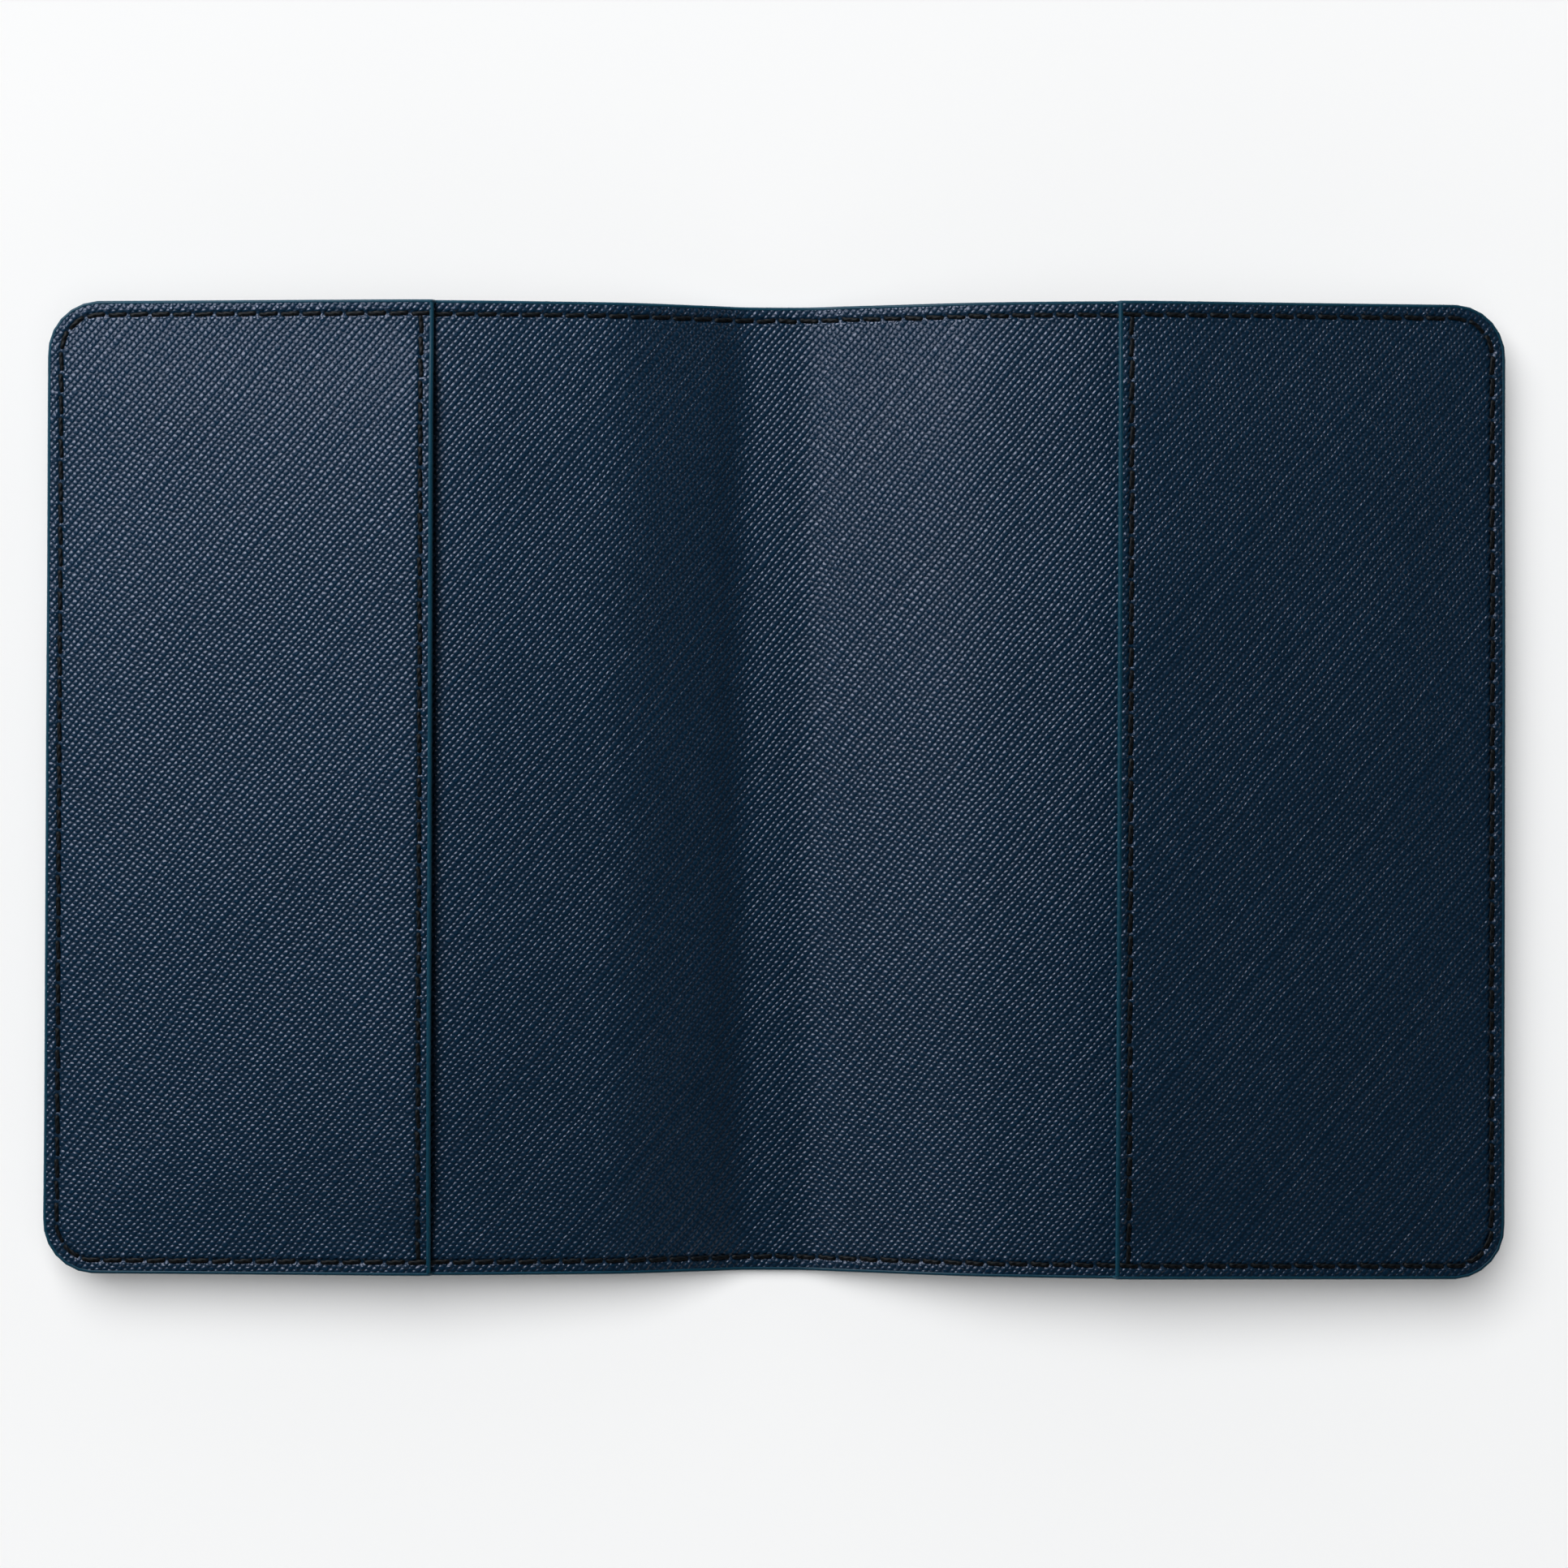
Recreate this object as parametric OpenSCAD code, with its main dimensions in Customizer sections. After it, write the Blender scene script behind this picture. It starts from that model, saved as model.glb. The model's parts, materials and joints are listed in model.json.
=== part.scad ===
// Open passport holder: a folded leather cover with a pocket sewn into each end.
// It lies open on its spine, inner face up. X runs across the wings, Y along the spine and Z up.
// The origin is the middle of the spine's underside.
// Each wing bends in two places, so each sheet is cut there: the spine, then on each side a panel
// next to the spine and a flap that carries the pocket. The fold is between the spine and a panel,
// and the crest is between a panel and its flap.

/* [Holder] */
// Height of the holder, along the spine
holder_h = 140; // [136:1:150]
// Width of the holder pressed flat, from one outer edge to the other
flat_w = 212; // [206:1:224]
// Radius of the four outer corners
corner_r = 7.5; // [6:0.5:12]
// Depth of each pocket, from its mouth to the outer edge
pocket_depth = 56; // [50:1:60]

/* [Layers] */
// Thickness of the outer cover leather
cover_t = 0.9; // [0.7:0.1:1.2]
// Thickness of the stiffener board in each wing
board_t = 0.3; // [0.2:0.1:0.5]
// Thickness of the lining leather
lining_t = 0.7; // [0.5:0.1:1]
// Thickness of the pocket leather
pocket_t = 0.8; // [0.6:0.1:1]
// Thickness of the fabric backing inside a pocket
backing_t = 0.2; // [0.1:0.05:0.3]
// Free height inside a pocket
slot_h = 0.8; // [0.6:0.1:1.2]
// Thickness of the adhesive film between two layers
glue_t = 0.05; // [0.03:0.01:0.1]

/* [Edges and seams] */
// Thickness of the paint on the cut edges
paint_w = 0.3; // [0.2:0.05:0.4]
// Distance from the outer edge to the seam line
seam_inset = 2; // [1.6:0.1:2.4]
// Distance from a pocket mouth to the stitch line beside it
mouth_seam_inset = 1.8; // [1.4:0.1:2.4]
// Width of the sewn rim where the pocket leather lies flat on the lining
rim_w = 3.2; // [3:0.1:4]
// Width of the sewing thread
thread_w = 0.5; // [0.4:0.05:0.6]
// Height that the thread on the inner face stands proud
thread_proud = 0.1; // [0.05:0.05:0.2]

/* [Bends] */
// Distance from the middle of the spine to each fold
fold_x = 5; // [5:0.5:7]
// Length of the steep part of a panel, next to the fold
steep_l = 11; // [8:1:12]
// Slope of the steep part when the holder lies open, in degrees
steep_slope = 19.5; // [15:0.5:20]
// Slope of the rest of the panel when the holder lies open, in degrees
panel_slope = 9; // [7:0.5:10]
// Angle that a flap droops outwards when the holder lies open, in degrees
flap_droop = 3.5; // [0:0.5:4.5]

/* [Hidden] */
$fn = 64;

left = -1;
right = 1;

// Gaps in the solids where the leather itself bends, each side of a fold and of a crest
fold_gap = 0.3;
crest_gap = 0.4;
// The board stops this far from the fold
board_gap = 1.5;
// The thread lies in a pressed groove, a little wider than itself
groove_w = thread_w + 0.1;
groove_d = 0.2;
seat = 0.02;
// Height of the mouth's bobbin thread, under the backing
under_thread_h = 0.15;
// How far a cutting shape runs past the face it cuts
past = 1;
// Gap round the backing, inside the pocket's walls
backing_fit = 0.1;
// The mouth stitching stops this far from the pocket's walls
mouth_seam_stop = 0.5;

// Layer heights above the underside
lining_spine_z = cover_t + glue_t;
spine_top = lining_spine_z + lining_t;
board_z = cover_t + glue_t;
lining_z = board_z + board_t + glue_t;
wing_top = lining_z + lining_t;
slot_top = wing_top + slot_h;
pocket_z = slot_top + backing_t + glue_t;
pocket_top = pocket_z + pocket_t;
rim_z = wing_top + glue_t;
rim_top = rim_z + pocket_t;

half_h = holder_h / 2;
wall_inset = rim_w + pocket_t;
flap_l = pocket_depth + crest_gap;
gentle_l = flat_w / 2 - fold_x - steep_l - flap_l;
pocket_half_h = half_h - wall_inset;

// The right wing's line in the XZ plane: fold, bend between its two slopes, and crest
function along(slope) = [cos(slope), sin(slope)];
function above(slope) = [-sin(slope), cos(slope)];
mid_slope = (steep_slope + panel_slope) / 2;
half_bend = (steep_slope - panel_slope) / 2;
fold_at = [fold_x, spine_top];
bend_at = fold_at + steep_l * along(steep_slope);
crest_at = bend_at + gentle_l * along(panel_slope) + (wing_top - spine_top) * above(panel_slope);

// Points of the panel's section at height h above its underside
function fold_end(h, gap) =
    fold_at + gap * along(steep_slope) + (h - spine_top) * above(steep_slope);
function bend_point(h) = bend_at + (h - spine_top) * above(mid_slope) / cos(half_bend);
function crest_end(h) =
    crest_at - crest_gap * along(panel_slope) + (h - wing_top) * above(panel_slope);

// Everything is drawn for the right wing; the left one is its mirror image
module wing(side) {
    if (side == right) children();
    else mirror([1, 0, 0]) children();
}

// A slab of the spine, between two heights, that runs from -y to y
module spine_slab(low, high, y) {
    half_w = fold_x - fold_gap;
    translate([-half_w, -y, low]) cube([2 * half_w, 2 * y, high - low]);
}

// The same on the spine, as two bars that run between y_in and y_out at each end
module spine_bars(low, high, y_in, y_out) {
    half_w = fold_x - fold_gap;
    for (end = [-1, 1])
        translate([-half_w, end * (y_in + y_out) / 2 - (y_out - y_in) / 2, low])
            cube([2 * half_w, y_out - y_in, high - low]);
}

// A layer of the panel, between two heights, from y0 to y1
module panel_slab(low, high, y0, y1, gap = fold_gap) {
    translate([0, y1, 0]) rotate([90, 0, 0]) linear_extrude(y1 - y0)
        polygon([
            fold_end(low, gap), bend_point(low), crest_end(low),
            crest_end(high), bend_point(high), fold_end(high, gap)
        ]);
}

// Two bars along the panel's short edges, between y_in and y_out
module panel_bars(low, high, y_in, y_out) {
    panel_slab(low, high, y_in, y_out);
    panel_slab(low, high, -y_out, -y_in);
}

// Outline of the flap from u0, inset from its three outer edges
module flap_2d(u0, inset) {
    r = corner_r - inset;
    u1 = flap_l - inset;
    y1 = half_h - inset;
    translate([u0, -y1]) square([u1 - r - u0, 2 * y1]);
    translate([u0, -(y1 - r)]) square([u1 - u0, 2 * (y1 - r)]);
    for (end = [-1, 1]) translate([u1 - r, end * (y1 - r)]) circle(r);
}

// Places the flap, which is drawn with its own u axis starting at the crest
module flap() {
    translate([crest_at.x, 0, crest_at.y]) rotate([0, flap_droop, 0]) translate([0, 0, -wing_top])
        children();
}

module flap_sheet(low, high, inset, u0 = crest_gap) {
    translate([0, 0, low]) linear_extrude(high - low) flap_2d(u0, inset);
}

// A U-shaped band of the flap, along its three outer edges
module flap_band(low, high, outer, inner, u0 = crest_gap) {
    translate([0, 0, low]) linear_extrude(high - low) difference() {
        flap_2d(u0, outer);
        flap_2d(u0 - past, inner);
    }
}

// The pressed pocket leather: a flat sewn rim, a low wall and a raised face, open at the mouth
module pocket_form(u0) {
    flap_band(rim_z, rim_top, paint_w, wall_inset, u0);
    flap_band(rim_z, pocket_top, rim_w, wall_inset, u0);
    flap_sheet(pocket_z, pocket_top, rim_w, u0);
}

// A bar along the stitch line beside the mouth
module mouth_bar(low, high, w) {
    y = pocket_half_h - mouth_seam_stop;
    translate([crest_gap + mouth_seam_inset - w / 2, -y, low]) cube([w, 2 * y, high - low]);
}

seam_out = seam_inset - thread_w / 2;
seam_in = seam_inset + thread_w / 2;
groove_out = seam_inset - groove_w / 2;
groove_in = seam_inset + groove_w / 2;

cover_colour = [0.09, 0.13, 0.19];
lining_colour = [0.13, 0.19, 0.27];
pocket_colour = [0.11, 0.17, 0.25];
board_colour = [0.62, 0.56, 0.46];
backing_colour = [0.16, 0.18, 0.21];
paint_colour = [0.08, 0.31, 0.43];
thread_colour = [0.04, 0.05, 0.08];

module outer_cover_spine() {
    color(cover_colour) difference() {
        spine_slab(0, cover_t, half_h - paint_w);
        spine_bars(-past, groove_d, half_h - groove_in, half_h - groove_out);
    }
}

module outer_cover_panel(side) {
    color(cover_colour) wing(side) difference() {
        panel_slab(0, cover_t, paint_w - half_h, half_h - paint_w);
        panel_bars(-past, groove_d, half_h - groove_in, half_h - groove_out);
    }
}

module outer_cover_flap(side) {
    color(cover_colour) wing(side) flap() difference() {
        flap_sheet(0, cover_t, paint_w);
        flap_band(-past, groove_d, groove_out, groove_in, 0);
    }
}

module lining_spine() {
    color(lining_colour) difference() {
        spine_slab(lining_spine_z, spine_top, half_h - paint_w);
        spine_bars(spine_top - groove_d, spine_top + past, half_h - groove_in, half_h - groove_out);
    }
}

module lining_panel(side) {
    color(lining_colour) wing(side) difference() {
        panel_slab(lining_z, wing_top, paint_w - half_h, half_h - paint_w);
        panel_bars(wing_top - groove_d, wing_top + past, half_h - groove_in, half_h - groove_out);
    }
}

module lining_flap(side) {
    color(lining_colour) wing(side) flap() flap_sheet(lining_z, wing_top, paint_w);
}

module stiffener_panel(side) {
    color(board_colour) wing(side)
        panel_slab(board_z, board_z + board_t, paint_w - half_h, half_h - paint_w, board_gap);
}

module stiffener_flap(side) {
    color(board_colour) wing(side) flap() flap_sheet(board_z, board_z + board_t, paint_w);
}

module pocket(side) {
    color(pocket_colour) wing(side) flap() difference() {
        pocket_form(crest_gap + paint_w);
        flap_band(rim_top - groove_d, rim_top + past, groove_out, groove_in, 0);
        mouth_bar(pocket_top - groove_d, pocket_top + past, groove_w);
    }
}

module pocket_backing(side) {
    color(backing_colour) wing(side) flap()
        flap_sheet(slot_top, slot_top + backing_t, wall_inset + backing_fit, crest_gap + paint_w);
}

module edge_paint_spine() {
    color(paint_colour) spine_bars(0, spine_top, half_h - paint_w, half_h);
}

module edge_paint_panel(side) {
    color(paint_colour) wing(side) panel_bars(0, wing_top, half_h - paint_w, half_h);
}

module edge_paint_flap(side) {
    color(paint_colour) wing(side) flap() flap_band(0, rim_top, 0, paint_w);
}

// Paint on the mouth's cut edge: over the pocket leather and the backing behind it
module mouth_paint(side) {
    color(paint_colour) wing(side) flap() {
        intersection() {
            pocket_form(crest_gap);
            translate([crest_gap, -half_h, 0]) cube([paint_w, holder_h, pocket_top + past]);
        }
        translate([crest_gap, -pocket_half_h, slot_top])
            cube([paint_w, 2 * pocket_half_h, pocket_top - slot_top]);
    }
}

module needle_thread_spine() {
    color(thread_colour)
        spine_bars(spine_top - groove_d + seat, spine_top + thread_proud,
                   half_h - seam_in, half_h - seam_out);
}

module needle_thread_panel(side) {
    color(thread_colour) wing(side)
        panel_bars(wing_top - groove_d + seat, wing_top + thread_proud,
                   half_h - seam_in, half_h - seam_out);
}

module needle_thread_flap(side) {
    color(thread_colour) wing(side) flap()
        flap_band(rim_top - groove_d + seat, rim_top + thread_proud, seam_out, seam_in,
                  crest_gap + paint_w);
}

module bobbin_thread_spine() {
    color(thread_colour)
        spine_bars(0, groove_d - seat, half_h - seam_in, half_h - seam_out);
}

module bobbin_thread_panel(side) {
    color(thread_colour) wing(side)
        panel_bars(0, groove_d - seat, half_h - seam_in, half_h - seam_out);
}

module bobbin_thread_flap(side) {
    color(thread_colour) wing(side) flap() flap_band(0, groove_d - seat, seam_out, seam_in);
}

module mouth_needle_thread(side) {
    color(thread_colour) wing(side) flap()
        mouth_bar(pocket_top - groove_d + seat, pocket_top + thread_proud, thread_w);
}

module mouth_bobbin_thread(side) {
    color(thread_colour) wing(side) flap()
        mouth_bar(slot_top - seat - under_thread_h, slot_top - seat, thread_w);
}

outer_cover_spine();
outer_cover_panel(left);  // outer_cover_left_panel
outer_cover_flap(left);  // outer_cover_left_flap
outer_cover_panel(right);  // outer_cover_right_panel
outer_cover_flap(right);  // outer_cover_right_flap
lining_spine();
lining_panel(left);  // lining_left_panel
lining_flap(left);  // lining_left_flap
lining_panel(right);  // lining_right_panel
lining_flap(right);  // lining_right_flap
stiffener_panel(left);  // stiffener_left_panel
stiffener_flap(left);  // stiffener_left_flap
stiffener_panel(right);  // stiffener_right_panel
stiffener_flap(right);  // stiffener_right_flap
pocket(left);  // pocket_left
pocket(right);  // pocket_right
pocket_backing(left);  // pocket_backing_left
pocket_backing(right);  // pocket_backing_right
edge_paint_spine();
edge_paint_panel(left);  // edge_paint_left_panel
edge_paint_flap(left);  // edge_paint_left_flap
edge_paint_panel(right);  // edge_paint_right_panel
edge_paint_flap(right);  // edge_paint_right_flap
mouth_paint(left);  // mouth_paint_left
mouth_paint(right);  // mouth_paint_right
needle_thread_spine();
needle_thread_panel(left);  // needle_thread_left_panel
needle_thread_flap(left);  // needle_thread_left_flap
needle_thread_panel(right);  // needle_thread_right_panel
needle_thread_flap(right);  // needle_thread_right_flap
bobbin_thread_spine();
bobbin_thread_panel(left);  // bobbin_thread_left_panel
bobbin_thread_flap(left);  // bobbin_thread_left_flap
bobbin_thread_panel(right);  // bobbin_thread_right_panel
bobbin_thread_flap(right);  // bobbin_thread_right_flap
mouth_needle_thread(left);  // mouth_needle_thread_left
mouth_needle_thread(right);  // mouth_needle_thread_right
mouth_bobbin_thread(left);  // mouth_bobbin_thread_left
mouth_bobbin_thread(right);  // mouth_bobbin_thread_right
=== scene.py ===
"""Looks of the open passport holder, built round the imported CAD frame.

Lengths in this script are millimetres until a mesh is made. Every leather sheet, thread and painted
edge is described flat, as (s, y, h): s runs across the wings from the middle of the spine along the
bent sheet, y runs along the spine, and h is the height above the holder's underside. place() bends
that flat description into the shape of the resting holder. Joints, lights and the camera are in
metres, as in the frame.
"""
import json
import math

import bpy
import numpy as np
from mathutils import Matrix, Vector
from mathutils.geometry import delaunay_2d_cdt


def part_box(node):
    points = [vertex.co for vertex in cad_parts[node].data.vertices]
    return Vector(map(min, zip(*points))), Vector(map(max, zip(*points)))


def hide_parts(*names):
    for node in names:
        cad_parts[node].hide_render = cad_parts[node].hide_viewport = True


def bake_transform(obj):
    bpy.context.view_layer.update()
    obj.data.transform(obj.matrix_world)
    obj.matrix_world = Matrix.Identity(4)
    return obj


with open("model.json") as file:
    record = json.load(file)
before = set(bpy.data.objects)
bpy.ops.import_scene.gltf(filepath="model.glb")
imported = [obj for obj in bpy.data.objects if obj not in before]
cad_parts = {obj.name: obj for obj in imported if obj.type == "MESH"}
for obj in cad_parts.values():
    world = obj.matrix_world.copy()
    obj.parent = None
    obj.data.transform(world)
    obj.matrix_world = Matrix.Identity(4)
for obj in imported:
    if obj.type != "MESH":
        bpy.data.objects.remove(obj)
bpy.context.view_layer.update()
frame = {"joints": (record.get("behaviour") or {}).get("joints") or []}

MM = 0.001
SIDES = {"left": -1, "right": 1}

# ---------------------------------------------------------------- dimensions

# Read from the frame
joints = {j["name"]: j for j in frame["joints"]}
FOLD_X, _, FOLD_Z = joints["right_fold"]["pos_m"]
CREST_X, _, CREST_Z = joints["right_crest_flex"]["pos_m"]
HALF_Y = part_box("edge_paint_spine")[1].y / MM
SPINE_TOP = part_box("lining_spine")[1].z / MM
COVER_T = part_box("outer_cover_spine")[1].z / MM

# The flat outline, and the paint's thickness beyond the leather's cut edge
HALF_S = 106.0
POCKET_DEPTH = 56.0
CORNER_R = 7.5
MOUTH_S = HALF_S - POCKET_DEPTH
PAINT_T = 0.3

# The layers' heights and thicknesses, and where the board starts to lift the lining
LINING_T = SPINE_TOP - COVER_T - 0.05
BOARD_LOW, BOARD_HIGH = COVER_T + 0.04, COVER_T + 0.34
BOARD_FROM, BOARD_RAMP = 4, 6
WING_TOP = 2.0
POCKET_BASE = 2.02
POCKET_T = 0.83
BACKING_T = 0.18
BACKING_GAP = 0.02

# The seams' distances from the outline and from a pocket's mouth
SEAM = 2.0
MOUTH_SEAM = 1.8

# Slopes in degrees, and where along the sheet they change: on each wing a steep rise beside the
# spine, then a gentle one to the crest under the pocket's mouth, then the flap drooping outwards
RISES = {-1: (18.0, 22.0, 5.5), 1: (16.5, 30.0, 7.0)}
DROOP = 3.6
FOLD_S, CREST_S = 5.0, 49.6
FOLD_BEND, RISE_BEND, CREST_BEND = 8.4, 13.0, 22.0

# Where the flaps' twist and the sheet's waves start; the spine lies on the table and has neither
TWIST_FROM = 40
WAVE_FROM, WAVE_GROWTH = 6, 24

# How far a pocket stands off the lining in its middle, and further at the mouth, from beside its
# seam inwards; how far from the sides it takes to do so; and how soon the gape at the mouth fades
PUFF, GAPE, PUFF_FROM = 0.25, 0.45, 2.7
PUFF_RAMP, GAPE_RAMP, GAPE_FADE = 16.0, 11.0, 9.0

# Stitches: a whole number of them from the middle of the top edge to the middle of the bottom edge
SEAM_R = CORNER_R - SEAM
CORNER_S = HALF_S - CORNER_R
CORNER_Y = HALF_Y - CORNER_R
ARC_Q = SEAM_R * math.pi / 2
HALF_PATH = 2 * (CORNER_S + ARC_Q + CORNER_Y)
STITCHES = 108
PITCH = HALF_PATH / STITCHES
MOUTH_STITCHES = 43
MOUTH_PITCH = 2 * (HALF_Y - SEAM) / MOUTH_STITCHES

# Sheets that cross the fold and the crest are cut between the two, at a needle hole
CUT_STITCH = 4
CUT_S = CUT_STITCH * PITCH

# ---------------------------------------------------------------- the bent sheet

ARC = np.arange(0, HALF_S + 1, 0.05)


def smooth(t):
    """Eases from 0 to 1 while t goes from 0 to 1."""
    t = np.clip(t, 0, 1)
    return t * t * (3 - 2 * t)


def bend(s, centre, width):
    """The share of a soft bend that lies before s."""
    return smooth((s - centre + width / 2) / width)


def integral(values):
    """Running integral of values over ARC."""
    middle = (values[1:] + values[:-1]) / 2
    return np.concatenate([[0], np.cumsum(middle * np.diff(ARC))])


def sheet_line(side):
    """Slope, x and z of one wing's middle line, at each distance of ARC from the spine."""
    steep, change, gentle = RISES[side]
    slope = np.radians(steep * bend(ARC, FOLD_S, FOLD_BEND)
                       + (gentle - steep) * bend(ARC, change, RISE_BEND)
                       + (-DROOP - gentle) * bend(ARC, CREST_S, CREST_BEND))
    return slope, integral(np.cos(slope)), SPINE_TOP + integral(np.sin(slope))


LINES = {side: sheet_line(side) for side in SIDES.values()}


def wave(s, y):
    """Height of the twist, 1 mm up or down at the corners, and of three long, low waves."""
    twist = -smooth((np.abs(s) - TWIST_FROM) / (HALF_S - TWIST_FROM)) * y / HALF_Y
    away = smooth((np.abs(s) - WAVE_FROM) / WAVE_GROWTH)
    turn = 2 * math.pi
    return twist + away * (0.16 * np.sin(turn * y / 170 + 0.9 * np.sign(s) + 0.4)
                   + 0.09 * np.sin(turn * (y / 74 + s / 120) + 1.1)
                   + 0.05 * np.sin(turn * (y / 41 - s / 66) + 2.0))


def place(s, y, h):
    """Where a flat point (s, y, h) is on the resting holder, in mm."""
    s, y, h = np.broadcast_arrays(*(np.asarray(v, float) for v in (s, y, h)))
    slope, x, z = (np.where(s < 0, np.interp(-s, ARC, left), np.interp(s, ARC, right))
                   for left, right in zip(LINES[-1], LINES[1]))
    x = x - (h - SPINE_TOP) * np.sin(slope)
    z = z + (h - SPINE_TOP) * np.cos(slope)
    return np.stack([np.sign(s) * x, y, z + wave(s, y)], -1)


# ---------------------------------------------------------------- flat places


def inset(s, y):
    """Distance from the holder's outline, inwards."""
    qs, qy = np.abs(s) - CORNER_S, np.abs(y) - CORNER_Y
    outside = np.hypot(np.maximum(qs, 0), np.maximum(qy, 0))
    return CORNER_R - outside - np.minimum(np.maximum(qs, qy), 0)


def along_seam(s, y):
    """Distance along the seam line from the middle of the nearer long edge."""
    qs, qy = np.abs(s) - CORNER_S, np.abs(y) - CORNER_Y
    turn = SEAM_R * np.arctan2(np.maximum(qs, 0), np.maximum(qy, 1e-9))
    side = CORNER_S + ARC_Q + CORNER_Y - np.abs(y)
    return np.where((qs > 0) & (qy > 0), CORNER_S + turn, np.where(qs > qy, side, np.abs(s)))


def path(q, d):
    """The point at q along the right wing's seam line, at inset d, as (s, y). q starts at the top."""
    q = np.asarray(q, float)
    far = np.minimum(q, HALF_PATH - q)
    angle = np.clip((far - CORNER_S) / SEAM_R, 0, math.pi / 2)
    r = CORNER_R - d
    s = np.minimum(far, CORNER_S) + r * np.sin(angle)
    y = CORNER_Y + r * np.cos(angle) - np.maximum(far - CORNER_S - ARC_Q, 0)
    return s, np.where(q <= HALF_PATH / 2, y, -y)


# Where a mesh has points between two needle holes, as shares of the pitch: closer beside each hole
HOLE_STEPS = np.array([0, 0.075, 0.165, 0.32, 0.5, 0.68, 0.835, 0.925])


def near_holes(first, last, pitch):
    """Distances along a seam of the mesh's points from hole number first to hole number last."""
    q = (np.arange(first, last)[:, None] + HOLE_STEPS).ravel() * pitch
    return np.append(q, last * pitch)


def to_hole(distance, pitch):
    """Distance to the nearest needle hole."""
    return distance - pitch * np.round(distance / pitch)


# ---------------------------------------------------------------- heights of the layers' faces


def bump_at(x, centre, width):
    """A round bump, 1 high at its centre."""
    return np.exp(-(((x - centre) / width) ** 2))


def seam_dent(d, hole):
    """How far a seam presses the leather down. d is the distance across it, inwards, and hole the
    distance along it to the nearest needle hole, where the leather between two stitches swells up."""
    groove = 0.17 * bump_at(d, 0, 0.32) + 0.07 * bump_at(d, 0, 0.9)
    bridge = 0.13 * bump_at(np.hypot(0.8 * d, hole), 0, 0.26)
    outer_swelling = 0.16 * bump_at(d, -0.66, 0.28) * bump_at(hole, 0, 0.5)
    inner_swelling = 0.12 * bump_at(d, 0.58, 0.24) * bump_at(hole, 0, 0.45)
    return groove - bridge - outer_swelling - inner_swelling


def edge_round(d):
    """How far a sheet's face turns down towards the painted edge."""
    return 0.09 * np.exp(-np.maximum(d - PAINT_T, 0) / 0.16)


def perimeter_dent(s, y):
    return seam_dent(inset(s, y) - SEAM, to_hole(along_seam(s, y), PITCH))


def mouth_dent(s, y):
    """The dent of the seam along a pocket's mouth, which ends at the perimeter's seam."""
    from_mouth = np.abs(s) - MOUTH_S
    inside = smooth((inset(s, y) - SEAM - 0.5) / 0.8)
    return inside * seam_dent(from_mouth - MOUTH_SEAM, to_hole(y + HALF_Y - SEAM, MOUTH_PITCH))


def board_lift(s):
    """The lining sits higher over the stiffener board, which starts beside the fold."""
    return (WING_TOP - SPINE_TOP) * smooth((np.abs(s) - BOARD_FROM) / BOARD_RAMP)


def cover_bottom(s, y):
    """The outer face. Its seam is pressed in a little further, without swellings that would reach
    below the table."""
    return np.maximum(perimeter_dent(s, y), 0) * 1.2 + edge_round(inset(s, y))


def cover_top(s, y):
    return np.full(np.shape(s), COVER_T)


def board_bottom(s, y):
    return np.full(np.shape(s), BOARD_LOW)


def board_top(s, y):
    return np.full(np.shape(s), BOARD_HIGH)


def lining_bottom(s, y):
    return SPINE_TOP - LINING_T + board_lift(s)


def lining_top(s, y):
    """The lining's face, pressed and rounded only where no pocket lies on it."""
    bare = np.abs(s) < MOUTH_S + 0.6
    dent = np.where(bare, perimeter_dent(s, y) + edge_round(inset(s, y)), 0)
    return SPINE_TOP + board_lift(s) - dent


def pocket_puff(s, y):
    """How far the pocket leather stands off the lining: none at the sewn rim, most at the mouth."""
    from_mouth = np.abs(s) - MOUTH_S
    from_rim = inset(s, y) - PUFF_FROM
    hold = smooth(from_rim / PUFF_RAMP)
    gape = smooth((HALF_Y - np.abs(y) - PUFF_FROM) / GAPE_RAMP)
    return hold * PUFF + gape * GAPE * np.exp(-from_mouth / GAPE_FADE) * smooth(from_rim / 6)


def pocket_bottom(s, y):
    return POCKET_BASE + pocket_puff(s, y)


def pocket_top(s, y):
    from_mouth = np.abs(s) - MOUTH_S
    dents = perimeter_dent(s, y) + mouth_dent(s, y)
    return (POCKET_BASE + POCKET_T + pocket_puff(s, y) - dents
            - edge_round(inset(s, y)) - edge_round(from_mouth))


def backing_top(s, y):
    return pocket_bottom(s, y) - BACKING_GAP


def backing_bottom(s, y):
    return backing_top(s, y) - BACKING_T


def stack_top(s, y):
    """Top of all layers beside the edge, smooth over the step at a pocket's mouth."""
    step = bend(np.abs(s), MOUTH_S, 0.7)
    return SPINE_TOP + board_lift(s) + step * (POCKET_BASE + POCKET_T - WING_TOP)


# ---------------------------------------------------------------- making meshes

SHARP_ANGLE = math.radians(50)
PRESSED_HALF_W = 0.28


def make_mesh(name, points, faces, flat, material):
    """A mesh object from points in mm, with each point's flat place stored for the materials."""
    mesh = bpy.data.meshes.new(name)
    mesh.from_pydata((points * MM).tolist(), [], faces)
    mesh.validate()
    mesh.shade_smooth()
    mesh.set_sharp_from_angle(angle=SHARP_ANGLE)
    attribute = mesh.attributes.new("sheet", "FLOAT_VECTOR", "POINT")
    attribute.data.foreach_set("vector", np.asarray(flat, np.float32).ravel())
    mesh.materials.append(material)
    obj = bpy.data.objects.new(name, mesh)
    bpy.context.scene.collection.objects.link(obj)
    return obj


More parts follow.
